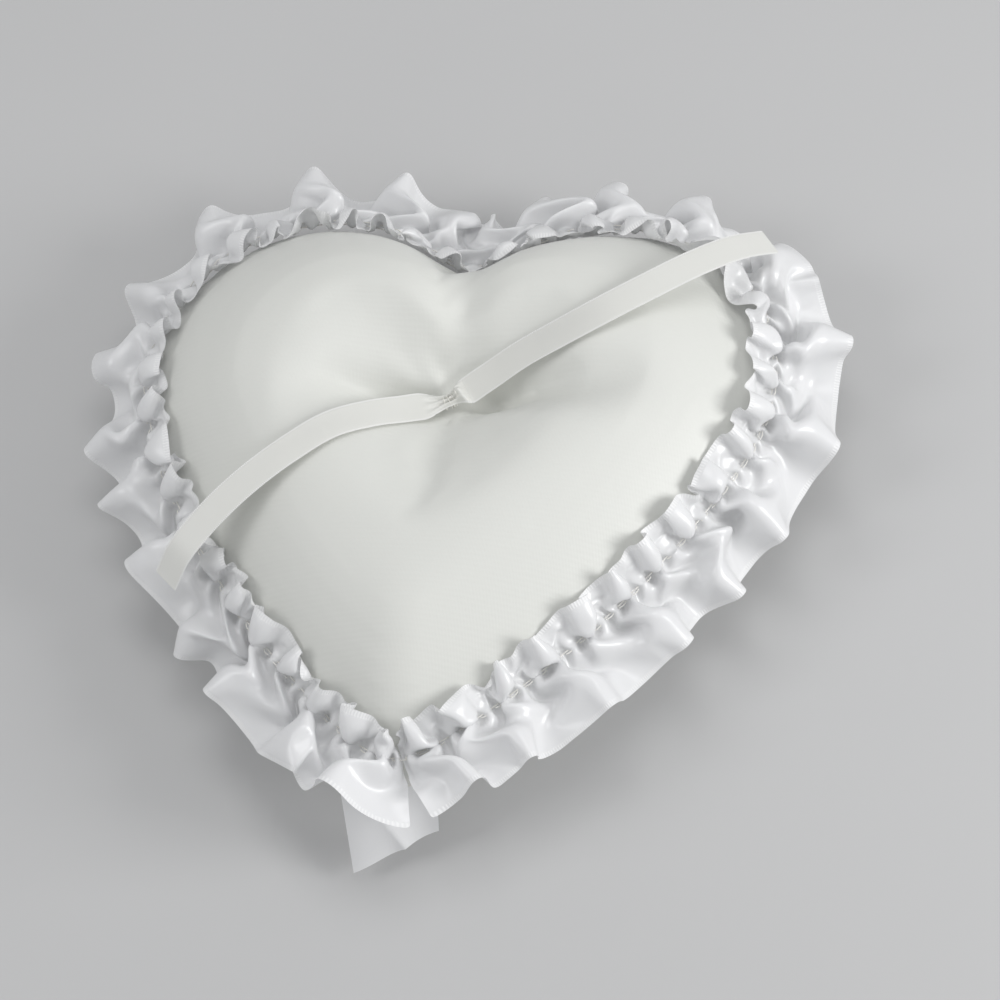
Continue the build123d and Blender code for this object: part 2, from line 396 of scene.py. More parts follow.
def makeCushion():
    spec = cushion
    tuft = np.array(heart["tuft"])
    fractions = np.arange(spec["round"]) / spec["round"]
    edge, _ = outline.at(fractions)
    scales = np.sin(np.linspace(0, math.pi / 2, spec["rings"] + 1)[1:])
    rows = []
    for profile, order in ((spec["front"], scales), (spec["back"], scales[-2::-1])):
        for s in order:
            xy = tuft + s * (edge - tuft)
            z = np.full(len(xy), float(smoothBetween(profile, np.array([s]))[0]))
            if profile is spec["front"]:
                z -= 0.5 * foldDepth(xy[:, 0], xy[:, 1], spec["folds"])
            rows.append(np.column_stack([xy, z]))
    mesh = gridMesh("cushion", np.array(rows), closed=True)
    shell = bmesh.new()
    shell.from_mesh(mesh)
    shell.verts.ensure_lookup_table()
    n = spec["round"]
    corners = list(shell.verts)
    for ring, height in ((corners[:n], spec["front"][0][1]), (corners[-n:], spec["back"][0][1])):
        pole = shell.verts.new((tuft[0], tuft[1], height))
        for i in range(n):
            shell.faces.new((ring[i], ring[(i + 1) % n], pole))
    bmesh.ops.recalc_face_normals(shell, faces=shell.faces)
    shell.to_mesh(mesh)
    shell.free()
    piece = addPiece("cushion", mesh)
    smoothShade(piece)
    return piece


def swellCushion(piece):
    # the filling pushes the satin out, and the tuft and its dimple at the back hold it in
    spec = cushion
    remesh = piece.modifiers.new("even", "REMESH")
    remesh.mode = "VOXEL"
    remesh.voxel_size = spec["voxel"]
    applyModifiers(piece)
    started = pointsOf(piece)
    fromTuft = np.hypot(started[:, 0] - heart["tuft"][0], started[:, 1] - heart["tuft"][1])
    group = piece.vertex_groups.new(name="tuft")
    group.add(np.nonzero(fromTuft < spec["tuftHold"])[0].tolist(), 1.0, "REPLACE")
    cloth = piece.modifiers.new("cloth", "CLOTH")
    settings = cloth.settings
    settings.quality = 6
    settings.use_pressure = True
    settings.uniform_pressure_force = spec["pressure"]
    settings.effector_weights.gravity = 0
    settings.vertex_group_mass = "tuft"
    settings.tension_stiffness = settings.compression_stiffness = spec["stretch"]
    settings.bending_stiffness = spec["bending"]
    cloth.point_cache.frame_end = spec["frames"]
    for frameNumber in range(1, spec["frames"] + 1):
        bpy.context.scene.frame_set(frameNumber)
    worn = piece.evaluated_get(bpy.context.evaluated_depsgraph_get())
    swollen = np.empty(len(worn.data.vertices) * 3, np.float32)
    worn.data.vertices.foreach_get("co", swollen)
    piece.modifiers.remove(cloth)
    piece.vertex_groups.clear()
    bpy.context.scene.frame_set(1)
    move = swollen.reshape(-1, 3) - started
    far = np.linalg.norm(move, axis=1, keepdims=True)
    print("cushion swells by", round(float(far.max()), 4))
    move *= np.minimum(1, spec["cap"] / np.maximum(far, 1e-9))
    setPoints(piece, started + move)
    finer = piece.modifiers.new("finer", "SUBSURF")
    finer.levels = finer.render_levels = 1
    applyModifiers(piece)


def detailCushion(piece):
    # the tuft's drawn-in folds, the seam's groove and its puckers, and the flat that the pillow lies on
    spec = cushion
    p = pointsOf(piece)
    dx, dy = p[:, 0] - heart["tuft"][0], p[:, 1] - heart["tuft"][1]
    r = np.hypot(dx, dy)
    angle = np.arctan2(dy, dx)
    front = ease(p[:, 2], *spec["frontFrom"])
    p[:, 2] -= front * foldDepth(p[:, 0], p[:, 1], spec["folds"])
    drawn = np.sin(7 * angle + 0.9) + 0.6 * np.sin(12 * angle + 2.1 + 60 * r)
    ripple = spec["tuftRipple"] * drawn * np.exp(-r / 0.011) * ease(r, 0.002, 0.006)
    p[:, 2] -= front * (spec["tuftSink"] * np.exp(-r / 0.0045) + ripple)
    outward = p[:, :2].copy()
    outward /= np.maximum(np.linalg.norm(outward, axis=1, keepdims=True), 1e-6)
    nearSeam = np.abs(p[:, 2] - heart["seamHeight"])
    turn = np.arctan2(p[:, 1], p[:, 0])
    pucker = np.sin(61 * turn + 2.0 * np.sin(9 * turn)) + 0.7 * np.sin(37 * turn + 1.3)
    pull = spec["pucker"] * pucker * np.exp(-(nearSeam / spec["puckerWidth"]) ** 2)
    pull -= spec["groove"] * np.exp(-(nearSeam / spec["grooveWidth"]) ** 2)
    p[:, :2] += outward * pull[:, None]
    p[:, 2] = np.maximum(p[:, 2], 0.0)
    setPoints(piece, p)
    smoothShade(piece)
    finer = piece.modifiers.new("finer", "SUBSURF")
    finer.levels = finer.render_levels = 1
    applyModifiers(piece)
    piece.data.materials.clear()
    piece.data.materials.append(cushionCloth)
    smoothShade(piece)


pillowCushion = makeCushion()
swellCushion(pillowCushion)
detailCushion(pillowCushion)
print("cushion made,", len(pillowCushion.data.polygons), "faces")

# Ruffle

ruffle = {
    "length": 1.12,
    "width": 0.038,
    "heading": 0.0135,
    "rows": 25,
    "columns": 720,
    "height": 0.0338,
    "stand": 0.0026,  # how far the gathered line stands off the satin
    "satinMissed": -0.002,  # taken where no satin is met at the gathered line's height
    "joinX": 0.006,
    "tight": 0.0110,
    "loop": 0.0270,
    "flute": 0.046,
    "crisp": 1.7,
    "lean": 0.42,
    "slack": 0.92,
    "flounceTilt": -13.0,
    "tipTilt": 28.0,
    "flounceCurl": -14.0,
    "headingTilt": 74.0,
    "headingCurl": -30.0,
    "seed": 7,
    "gathered": (0.0045, 0.0030),  # how far the tight gathers reach into the flounce and the heading
    "panelsFrom": (0.001, 0.016),  # where the small loops open into the flounce's broad panels
    "tipSpan": 0.075,
    "headingSlack": 0.96,
    "level": 0.07,
    "drift": 121,
}


def satinOffsets(count=360):
    # how far the satin stands out from the heart's outline at the gathered line's height
    fractions = np.arange(count) / count
    point, ray = outline.at(fractions)
    found = np.full(count, ruffle["satinMissed"])
    for i, ((x, y), (rx, ry)) in enumerate(zip(point, ray)):
        start = Vector((x + rx * 0.03, y + ry * 0.03, ruffle["height"]))
        hit = cushionSurface.ray_cast(start, Vector((-rx, -ry, 0)))[0]
        if hit is not None:
            found[i] = (hit.x - x) * rx + (hit.y - y) * ry
    kernel = np.hanning(9)
    around = np.concatenate([found[-9:], found, found[:9]])
    return np.convolve(around, kernel / kernel.sum(), "same")[9:-9]


cushionSurface = BVHTree.FromObject(pillowCushion, bpy.context.evaluated_depsgraph_get())
satinOut = satinOffsets()
print("satin stands out by", satinOut.min().round(4), satinOut.max().round(4))


def gatherOffset(fractions):
    around = np.arange(len(satinOut) + 1) / len(satinOut)
    return np.interp(np.mod(fractions, 1), around, np.append(satinOut, satinOut[0])) + ruffle["stand"]


def ruffleJoin():
    # where round the outline the ruffle starts and ends, just right of the tip
    joinY = heart["tipY"] + heart["tipRadius"] - math.sqrt(heart["tipRadius"] ** 2 - ruffle["joinX"] ** 2)
    nearest = np.hypot(outline.points[:, 0] - ruffle["joinX"], outline.points[:, 1] - joinY).argmin()
    return outline.fraction[nearest]


def waves(count, length, wavelength, spread, rng):
    # phase along the ribbon, its wavelength wandering by spread
    crests = max(4, int(length / wavelength))
    lengths = wavelength * (1 + spread * rng.uniform(-1, 1, crests + 2))
    lengths *= length / lengths.sum()
    knots = np.concatenate([[0], np.cumsum(lengths)])
    u = np.linspace(0, length, count)
    phase = np.interp(u, knots, np.arange(len(knots)) * 2 * math.pi)
    kernel = np.hanning(max(5, int(count * wavelength / length * 0.8)))
    kernel /= kernel.sum()
    pad = len(kernel)
    padded = np.concatenate([phase[0] - np.arange(pad, 0, -1) * (phase[1] - phase[0]), phase,
                             phase[-1] + np.arange(1, pad + 1) * (phase[-1] - phase[-2])])
    return np.convolve(padded, kernel, "same")[pad:-pad]


def levelled(h, window):
    # takes the slow drift out of a row's rise and fall
    kernel = np.hanning(window)
    kernel /= kernel.sum()
    pad = window
    padded = np.concatenate([h[pad:0:-1], h, h[-2:-pad - 2:-1]])
    return h - np.convolve(padded, kernel, "same")[pad:-pad]


def rufflePoints():
    spec = ruffle
    rng = np.random.default_rng(spec["seed"])
    n, length = spec["columns"], spec["length"]
    u = np.linspace(0, length, n)
    step = u[1] - u[0]
    tight = waves(n, length, spec["tight"], 0.25, rng)
    loop = waves(n, length, spec["loop"], 0.22, rng)
    flute = waves(n, length, spec["flute"], 0.30, rng)
    slow = waves(n, length, 0.23, 0.3, rng)
    across = np.linspace(-spec["heading"], spec["width"] - spec["heading"], spec["rows"])
    start = ruffleJoin()
    around = start - u / length
    atTip = np.exp(-(((np.mod(around, 1) - 0.5) / spec["tipSpan"]) ** 2))
    tilt = spec["flounceTilt"] + (spec["tipTilt"] - spec["flounceTilt"]) * atTip
    tilt += 5 * np.sin(slow * 0.6)
    leaning = spec["lean"] * np.tanh(2 * np.sin(slow * 0.5 + 0.6))
    panels = np.tanh(spec["crisp"] * (np.sin(flute) + leaning))
    panels = levelled(panels, spec["drift"])
    panels /= np.abs(panels).max()
    rows = []
    for t in across:
        if t >= 0:
            steps = np.linspace(0, t, 20)
            curl = np.radians(spec["flounceCurl"] * ease(steps, 0, spec["width"] - spec["heading"]))
            reach, drop = np.trapz(np.cos(curl), steps), np.trapz(np.sin(curl), steps)
            base = np.radians(tilt)
            out = spec["slack"] * (np.cos(base) * reach - np.sin(base) * drop)
            rise = spec["slack"] * (np.sin(base) * reach + np.cos(base) * drop)
            turn = base + curl[-1]
            normal = (-np.sin(turn), np.cos(turn))
        else:
            steps = np.linspace(0, -t, 20)
            curl = np.radians(spec["headingTilt"] + spec["headingCurl"] * ease(steps, 0, spec["heading"]))
            out = np.full(n, -spec["headingSlack"] * np.trapz(np.cos(curl), steps))
            rise = np.full(n, spec["headingSlack"] * np.trapz(np.sin(curl), steps))
            normal = (math.sin(curl[-1]), math.cos(curl[-1]))
        nearGather = np.exp(-((t / spec["gathered"][0 if t > 0 else 1]) ** 2))
        wide = float(ease(t, *spec["panelsFrom"]))
        shape = nearGather * np.sin(tight)
        shape = shape + (1 - nearGather) * ((1 - wide) * np.sin(loop) + wide * panels)
        shape -= shape.mean()
        offset = float(out.mean()) + float(gatherOffset(around).mean())
        target = outline.lengthAt(offset) / length
        low, high = 0.1, 2.6
        for _ in range(40):
            mid = (low + high) / 2
            if np.cos(mid * shape).mean() > target:
                low = mid
            else:
                high = mid
        theta = low * shape
        progress = np.concatenate([[0], np.cumsum(np.cos(theta[:-1]))]) * step
        progress /= progress[-1]
        swing = np.concatenate([[0], np.cumsum(np.sin(theta[:-1]))]) * step
        swing = levelled(swing, int(spec["level"] / step))
        point, ray = outline.at(start - progress)
        sideways = gatherOffset(start - progress) + out + normal[0] * swing
        upward = spec["height"] + rise + normal[1] * swing
        rows.append(np.column_stack([point + ray * sideways[:, None], upward]))
    return np.array(rows), across, u


clothWork = {
    "enlarge": 10.0,  # cloth settles better at this size, and is brought back after
    "frames": 40,
    "mass": 0.20,
    "tension": 30.0,
    "compression": 30.0,
    "shear": 12.0,
    "bending": 1.5,
    "quality": 7,
    "gravity": 0.05,
    "gap": 0.004,
    "pinned": 0.0017,  # half the width that the gathering holds still
}


def settleCloth(piece, flat, pins, obstacle, spec):
    size = spec["enlarge"]
    started = pointsOf(piece)
    setPoints(piece, started * size)
    setPoints(obstacle, pointsOf(obstacle) * size)
    solid = obstacle.modifiers.new("obstacle", "COLLISION")
    obstacle.collision.thickness_outer = spec["gap"]
    obstacle.collision.cloth_friction = 8
    piece.shape_key_add(name="worn")
    cut = piece.shape_key_add(name="flat")
    cut.data.foreach_set("co", (flat * size).astype(np.float32).ravel())
    group = piece.vertex_groups.new(name="pins")
    for weight in sorted(set(pins.tolist())):
        if weight > 0:
            group.add(np.nonzero(pins == weight)[0].tolist(), weight, "REPLACE")
    cloth = piece.modifiers.new("cloth", "CLOTH")
    settings = cloth.settings
    settings.quality = spec["quality"]
    settings.mass = spec["mass"]
    settings.air_damping = 2.0
    settings.tension_stiffness = spec["tension"]
    settings.compression_stiffness = spec["compression"]
    settings.shear_stiffness = spec["shear"]
    settings.bending_model = "ANGULAR"
    settings.bending_stiffness = spec["bending"]
    settings.tension_damping = settings.compression_damping = settings.shear_damping = 8
    settings.bending_damping = 1.0
    settings.vertex_group_mass = "pins"
    settings.effector_weights.gravity = spec["gravity"]
    settings.pin_stiffness = 5.0
    settings.rest_shape_key = cut
    cloth.collision_settings.use_collision = True
    cloth.collision_settings.distance_min = spec["gap"]
    cloth.collision_settings.use_self_collision = True
    cloth.collision_settings.self_distance_min = spec["gap"]
    cloth.collision_settings.self_friction = 2.0
    cloth.point_cache.frame_start = 1
    cloth.point_cache.frame_end = spec["frames"]
    scene = bpy.context.scene
    for frameNumber in range(1, spec["frames"] + 1):
        scene.frame_set(frameNumber)
    graph = bpy.context.evaluated_depsgraph_get()
    worn = piece.evaluated_get(graph)
    settled = np.empty(len(worn.data.vertices) * 3, np.float32)
    worn.data.vertices.foreach_get("co", settled)
    piece.modifiers.remove(cloth)
    obstacle.modifiers.remove(solid)
    piece.shape_key_clear()
    piece.vertex_groups.clear()
    scene.frame_set(1)
    setPoints(obstacle, pointsOf(obstacle) / size)
    setPoints(piece, settled.reshape(-1, 3).astype(float) / size)
    moved = np.linalg.norm(pointsOf(piece) - started, axis=1)
    print(piece.name, "settled, furthest point moved", round(float(moved.max()), 4))


def makeRuffle():
    points, across, along = rufflePoints()
    mesh = gridMesh("ruffle", points)
    gridUv(mesh, across + ruffle["heading"], along, ruffle["columns"])
    piece = addPiece("ruffle", mesh)
    u, v = np.meshgrid(along, across)
    flat = np.stack([u.ravel(), v.ravel(), np.zeros(u.size)], -1)
    pins = np.where(np.abs(v.ravel()) < clothWork["pinned"], 1.0, 0.0)
    settleCloth(piece, flat, pins, pillowCushion, clothWork)
    return piece


pillowRuffle = makeRuffle()
pillowRuffle.data.materials.append(ruffleCloth)
pillowRuffle.modifiers.new("smooth", "SUBSURF").levels = 1
pillowRuffle.modifiers["smooth"].render_levels = 1
print("ruffle made")

looseEnd = {
    "corners": [(-0.0190, -0.0850, 0.0300), (0.0110, -0.0840, 0.0300),
                (0.0120, -0.1020, 0.0120), (-0.0140, -0.1130, 0.0040)],
    "crease": 0.62,  # a diagonal fold near the cut edge's lower corner
    "creaseDepth": 0.0045,
    "creaseWidth": 0.22,
    "flat": (0.038, 0.031),
    "waves": 0.8,
    "depth": 0.0022,
    "lowest": 0.0015,
    "steps": 40,
}


def makeLooseEnd():
    # the ruffle ribbon's cut end, ungathered, hanging from under the tip
    spec = looseEnd
    a, b = np.meshgrid(np.linspace(0, 1, spec["steps"]), np.linspace(0, 1, spec["steps"]))
    a, b = a[..., None], b[..., None]
    left, right, rightLow, leftLow = (np.array(c) for c in spec["corners"])
    top = left * (1 - a) + right * a
    low = leftLow * (1 - a) + rightLow * a
    points = top * (1 - b) + low * b
    normal = np.array([0.05, -0.85, 0.5])
    wave = np.sin(2 * math.pi * spec["waves"] * a + 0.4 + 0.8 * b)
    fold = np.abs(a + 0.55 * (1 - b) - spec["crease"])
    crease = spec["creaseDepth"] * b * np.exp(-fold / spec["creaseWidth"])
    points = points + normal * (spec["depth"] * wave * (0.4 + 0.6 * b) + crease)
    points[..., 2] = np.maximum(points[..., 2], spec["lowest"])
    mesh = gridMesh("ruffleLooseEnd", points)
    size = spec["flat"]
    steps = np.linspace(0, 1, spec["steps"])
    gridUv(mesh, steps * size[1] + 0.002, steps * size[0], spec["steps"])
    piece = addPiece("ruffleLooseEnd", mesh)
    piece.data.materials.append(ruffleCloth)
    return piece


ruffleEnd = makeLooseEnd()

# Ring ribbon

ringRibbon = {
    "width": 0.010,
    "clearance": 0.0005,
    "lower": [(-0.0768, -0.0392, 0.0425), (-0.0715, -0.0330, 0.0500), (-0.0640, -0.0245, 0.0545),
              (-0.0520, -0.0120, 0.0580), (-0.0400, -0.0010, 0.0590), (-0.0290, 0.0085, 0.0575),
              (-0.0180, 0.0155, 0.0525), (-0.0085, 0.0205, 0.0470)],
    "tuft": [(0.0030, 0.0258, 0.0432)],
    "upper": [(0.0135, 0.0320, 0.0462), (0.0245, 0.0378, 0.0512), (0.0370, 0.0432, 0.0560),
              (0.0500, 0.0498, 0.0592), (0.0630, 0.0585, 0.0590), (0.0760, 0.0685, 0.0565),
              (0.0870, 0.0770, 0.0520), (0.0957, 0.0838, 0.0445)],
    "steps": 300,
    "across": 15,
    "tacked": 0.0055,  # how far each way from the tuft the ribbon is sewn down
    "pinch": 0.42,
    "pleat": 0.0016,
    "fold": 0.0036,
}


def smoothLine(controls, count):
    points = np.array(controls, float)
    gaps = np.linalg.norm(np.diff(points, axis=0), axis=1)
    place = np.concatenate([[0], np.cumsum(gaps)])
    slopes = np.gradient(points, place, axis=0)
    s = np.linspace(0, place[-1], count)
    i = np.clip(np.searchsorted(place, s, side="right") - 1, 0, len(place) - 2)
    h = (place[i + 1] - place[i])[:, None]
    t = (s - place[i])[:, None] / h
    return ((1 + 2 * t) * (1 - t) ** 2 * points[i] + t * (1 - t) ** 2 * h * slopes[i]
            + t * t * (3 - 2 * t) * points[i + 1] + t * t * (t - 1) * h * slopes[i + 1])


def ringRibbonPoints(under):
    spec = ringRibbon
    line = smoothLine(spec["lower"] + spec["tuft"] + spec["upper"], spec["steps"])
    tangent = np.gradient(line, axis=0)
    tangent /= np.linalg.norm(tangent, axis=1, keepdims=True)
    side = np.cross(tangent, [0, 0, 1])
    side /= np.linalg.norm(side, axis=1, keepdims=True)
    along = np.concatenate([[0], np.cumsum(np.linalg.norm(np.diff(line, axis=0), axis=1))])
    middle = along[np.linalg.norm(line - np.array(spec["tuft"][0]), axis=1).argmin()]
    fromTuft = along - middle
    near = 1 - ease(np.where(fromTuft > 0, 1.9, 1.0) * np.abs(fromTuft), 0.001, 0.0105)
    across = np.linspace(-spec["width"] / 2, spec["width"] / 2, spec["across"])
    points = []
    for a in across:
        row = line + side * (a * (1 - (1 - spec["pinch"]) * near))[:, None]
        pleat = 0.5 + 0.5 * np.cos(3 * math.pi * a / (spec["width"] / 2) + 0.6 + fromTuft * 90)
        loop = np.exp(-(((fromTuft - 0.0030 - 0.12 * a) / 0.0014) ** 2))
        loop *= math.cos(0.8 * math.pi * (a / spec["width"]))
        row[:, 2] += spec["pleat"] * near * pleat + spec["fold"] * loop
        points.append(row)
    points = np.array(points)
    lift = np.zeros(points.shape[:2])
    for r in range(points.shape[0]):
        for c in range(points.shape[1]):
            x, y, z = points[r, c]
            hit = under.ray_cast(Vector((x, y, 0.2)), Vector((0, 0, -1)))[0]
            if hit is not None:
                lift[r, c] = max(0.0, hit.z + spec["clearance"] - z)
    points[:, :, 2] += lift.max(axis=0)[None, :] * (1 - 0.8 * near)[None, :] + lift * 0.8 * near[None, :]
    return points, across, along, fromTuft


def makeRingRibbon(under):
    spec = ringRibbon
    points, across, along, fromTuft = ringRibbonPoints(under)
    found = {}
    spans = {
        "ringRibbonLowerTail": fromTuft <= -spec["tacked"],
        "ringRibbonCentre": np.abs(fromTuft) <= spec["tacked"],
        "ringRibbonUpperTail": fromTuft >= spec["tacked"],
    }
    for name, chosen in spans.items():
        columns = np.nonzero(chosen)[0]
        first, last = max(columns[0] - (name != "ringRibbonLowerTail"), 0), columns[-1]
        part = points[:, first:last + 1]
        mesh = gridMesh(name, part)
        gridUv(mesh, across + spec["width"] / 2, along[first:last + 1], last + 1 - first)
        piece = addPiece(name, mesh)
        piece.data.materials.append(ringRibbonCloth)
        finer = piece.modifiers.new("finer", "SUBSURF")
        finer.levels = finer.render_levels = 1
        applyModifiers(piece)
        smoothShade(piece)
        found[name] = (piece, float(along[last] - along[first]))
        print(name, "length", round(found[name][1], 4))
    return found


ringRibbonParts = makeRingRibbon(cushionSurface)
print("ring ribbon made")

# Stitches and threads

stitching = {
    "threadRadius": 0.00018,
    "knotRadius": 0.00055,
    "gatherRadius": 0.0002,
    "gatherLift": 0.0004,
    "stitchLift": 0.0008,
    "joinGap": 0.004,  # share of the round left free at each side of the ruffle's join
    "ruffleSpacing": 0.0052,
    "ruffleStitch": 0.0030,
    "closingSpacing": 0.0042,
    "closingStitch": 0.0024,
    "closingSpan": (0.30, 0.39),  # shares of the way round from the cleft
    "tackDirection": 30,
    "tackSpan": 0.0036,
    "tackPitch": 0.0014,
    "tacks": 4,
}


def stitchTree():
    tree = bpy.data.node_groups.new("stitchRow", "GeometryNodeTree")
    face = tree.interface
    face.new_socket("Geometry", in_out="INPUT", socket_type="NodeSocketGeometry")
    lengths = {"Spacing": 0.005, "Stitch length": 0.003, "Thread radius": 0.0002, "Unevenness": 0.2}
    for name, value in lengths.items():
        face.new_socket(name, in_out="INPUT", socket_type="NodeSocketFloat").default_value = value
    face.new_socket("Thread", in_out="INPUT", socket_type="NodeSocketMaterial")
    face.new_socket("Geometry", in_out="OUTPUT", socket_type="NodeSocketGeometry")
    nodes, links = tree.nodes, tree.links

    def node(kind, settings=None, inputs=None):
        made = nodes.new(kind)
        for key, value in (settings or {}).items():
            setattr(made, key, value)
        for key, value in (inputs or {}).items():
            if isinstance(value, bpy.types.NodeSocket):
                links.new(value, made.inputs[key])
            else:
                made.inputs[key].default_value = value
        return made

    start = node("NodeGroupInput").outputs
    path = node("GeometryNodeMeshToCurve", None, {"Mesh": start["Geometry"]}).outputs[0]
    spots = node("GeometryNodeCurveToPoints", {"mode": "LENGTH"}, {"Curve": path, "Length": start["Spacing"]})
    half = node("ShaderNodeMath", {"operation": "MULTIPLY"}, {0: start["Stitch length"], 1: 0.5}).outputs[0]
    minus = node("ShaderNodeMath", {"operation": "MULTIPLY"}, {0: start["Stitch length"], 1: -0.5}).outputs[0]
    rise = node("ShaderNodeMath", {"operation": "MULTIPLY"}, {0: start["Stitch length"], 1: 0.22}).outputs[0]
    ends = [node("ShaderNodeCombineXYZ", None, {2: value}).outputs[0] for value in (minus, half)]
    top = node("ShaderNodeCombineXYZ", None, {0: rise}).outputs[0]
    shape = {"Resolution": 8, "Start": ends[0], "Middle": top, "End": ends[1]}
    bow = node("GeometryNodeCurveQuadraticBezier", None, shape)
    ring = node("GeometryNodeCurvePrimitiveCircle", None, {"Resolution": 6, "Radius": start["Thread radius"]})
    swept = {"Curve": bow.outputs[0], "Profile Curve": ring.outputs[0], "Fill Caps": True}
    stitch = node("GeometryNodeCurveToMesh", None, swept)
    copies = {"Points": spots.outputs["Points"], "Rotation": spots.outputs["Rotation"]}
    copies["Instance"] = stitch.outputs[0]
    placed = node("GeometryNodeInstanceOnPoints", None, copies)
    tilt = node("FunctionNodeRandomValue", {"data_type": "FLOAT"}, {"Seed": 11})
    low = node("ShaderNodeMath", {"operation": "MULTIPLY"}, {0: start["Unevenness"], 1: -1.0}).outputs[0]
    links.new(low, tilt.inputs[2])
    links.new(start["Unevenness"], tilt.inputs[3])
    swing = node("ShaderNodeCombineXYZ", None, {0: tilt.outputs[1], 1: tilt.outputs[1]}).outputs[0]
    turned = node("GeometryNodeRotateInstances", None, {"Instances": placed.outputs[0], "Rotation": swing})
    real = node("GeometryNodeRealizeInstances", None, {"Geometry": turned.outputs[0]})
    cover = {"Geometry": real.outputs[0], "Material": start["Thread"]}
    finished = node("GeometryNodeSetMaterial", None, cover)
    node("NodeGroupOutput", None, {0: finished.outputs[0]})
    return tree


stitchRowTree = stitchTree()


def stitchRow(name, path, spacing, length):
    mesh = bpy.data.meshes.new(name)
    mesh.from_pydata([tuple(p) for p in path], [(i, i + 1) for i in range(len(path) - 1)], [])
    piece = addPiece(name, mesh)
    rows = piece.modifiers.new("stitches", "NODES")
    rows.node_group = stitchRowTree
    values = {"Spacing": spacing, "Stitch length": length}
    values.update({"Thread radius": stitching["threadRadius"], "Thread": threadFinish})
    for socket in stitchRowTree.interface.items_tree:
        if socket.in_out == "INPUT" and socket.name in values:
            rows[socket.identifier] = values[socket.name]
    applyModifiers(piece)
    smoothShade(piece)
    print(name, len(piece.data.polygons), "faces")
    return piece


def thread(name, path, radius):
    curve = bpy.data.curves.new(name, "CURVE")
    curve.dimensions = "3D"
    curve.bevel_depth = radius
    curve.bevel_resolution = 2
    curve.use_fill_caps = True
    line = curve.splines.new("POLY")
    line.points.add(len(path) - 1)
    for point, place in zip(line.points, path):
        point.co = (*place, 1)
    source = bpy.data.objects.new(name, curve)
    bpy.context.scene.collection.objects.link(source)
    mesh = bpy.data.meshes.new_from_object(source.evaluated_get(bpy.context.evaluated_depsgraph_get()))
    bpy.data.objects.remove(source)
    piece = addPiece(name, mesh)
    mesh.materials.clear()
    mesh.materials.append(threadFinish)
    smoothShade(piece)
    return piece


def gatherLine(first, last, count, height, offset=0.0):
    fractions = np.linspace(first, last, count)
    point, ray = outline.at(fractions)
    xy = point + ray * (offset + gatherOffset(fractions))[:, None]
    return np.column_stack([xy, np.full(count, ruffle["height"] + height)])


def surfaceLine(first, last, count, height):
    # points on the cushion's side at one height, found from outside
    point, ray = outline.at(np.linspace(first, last, count))
    line = []
    for (x, y), (rx, ry) in zip(point, ray):
        start = Vector((x + rx * 0.03, y + ry * 0.03, height))
        hit = cushionSurface.ray_cast(start, Vector((-rx, -ry, 0)))[0]
        if hit is not None:
            line.append((hit.x + rx * 0.0002, hit.y + ry * 0.0002, hit.z))
    return line


joinFraction = ruffleJoin()
firstStitch, lastStitch = joinFraction - stitching["joinGap"], joinFraction - (1 - stitching["joinGap"])
gatheringPath = gatherLine(firstStitch, lastStitch, 900, stitching["gatherLift"])
gatheringThread = thread("gatheringThread", gatheringPath, stitching["gatherRadius"])
ruffleStitchPath = gatherLine(firstStitch, lastStitch, 900, stitching["stitchLift"], stitching["stitchLift"])
ruffleStitches = stitchRow("ruffleStitches", ruffleStitchPath,
                           stitching["ruffleSpacing"], stitching["ruffleStitch"])
closingPath = surfaceLine(*stitching["closingSpan"], 60, heart["seamHeight"])
closingStitches = stitchRow("closingStitches", closingPath,
                            stitching["closingSpacing"], stitching["closingStitch"])


def makeTacks(ribbon):
    # short hand stitches over the pinched ribbon, through the tuft
    spec = stitching
    surface = BVHTree.FromObject(ribbon, bpy.context.evaluated_depsgraph_get())
    centre = Vector(ringRibbon["tuft"][0])
    turn = math.radians(spec["tackDirection"])
    alongDirection = Vector((math.cos(turn), math.sin(turn), 0))
    acrossDirection = Vector((-alongDirection.y, alongDirection.x, 0))
    joined = bmesh.new()
    for i in range(spec["tacks"]):
        shift = (i - (spec["tacks"] - 1) / 2) * spec["tackPitch"]
        path = []
        for k in range(13):
            a = (k / 12 - 0.5) * 2
            spot = centre + alongDirection * (shift + 0.0003 * math.sin(5 * i + 1.0) * a)
            spot = spot + acrossDirection * (a * spec["tackSpan"] / 2)
            hit = surface.ray_cast(Vector((spot.x, spot.y, 0.2)), Vector((0, 0, -1)))[0]
            top = hit.z if hit is not None else centre.z
            path.append((spot.x, spot.y, top + 0.00025 - 0.0022 * abs(a) ** 8))
        one = thread("tack", path, spec["threadRadius"])
        joined.from_mesh(one.data)
        bpy.data.objects.remove(one)
    mesh = bpy.data.meshes.new("tackStitches")
    joined.to_mesh(mesh)
    joined.free()
    mesh.materials.append(threadFinish)
    piece = addPiece("tackStitches", mesh)
    smoothShade(piece)
    return piece


def makeKnots():
    # the gathering thread's two knots, one at each side of the join
    joined = bmesh.new()
    for place in gatherLine(firstStitch, lastStitch, 2, stitching["gatherLift"], stitching["gatherLift"]):
        lump = bmesh.ops.create_icosphere(joined, subdivisions=3, radius=stitching["knotRadius"])["verts"]
        for corner in lump:
            x, y, z = corner.co
            corner.co *= 1 + 0.18 * math.sin(9000 * x + 4000 * y) * math.cos(8000 * z)
        bmesh.ops.translate(joined, verts=lump, vec=Vector(place))
    mesh = bpy.data.meshes.new("gatheringKnots")
    joined.to_mesh(mesh)
    joined.free()
    mesh.materials.append(threadFinish)
    piece = addPiece("gatheringKnots", mesh)
    smoothShade(piece)
    return piece


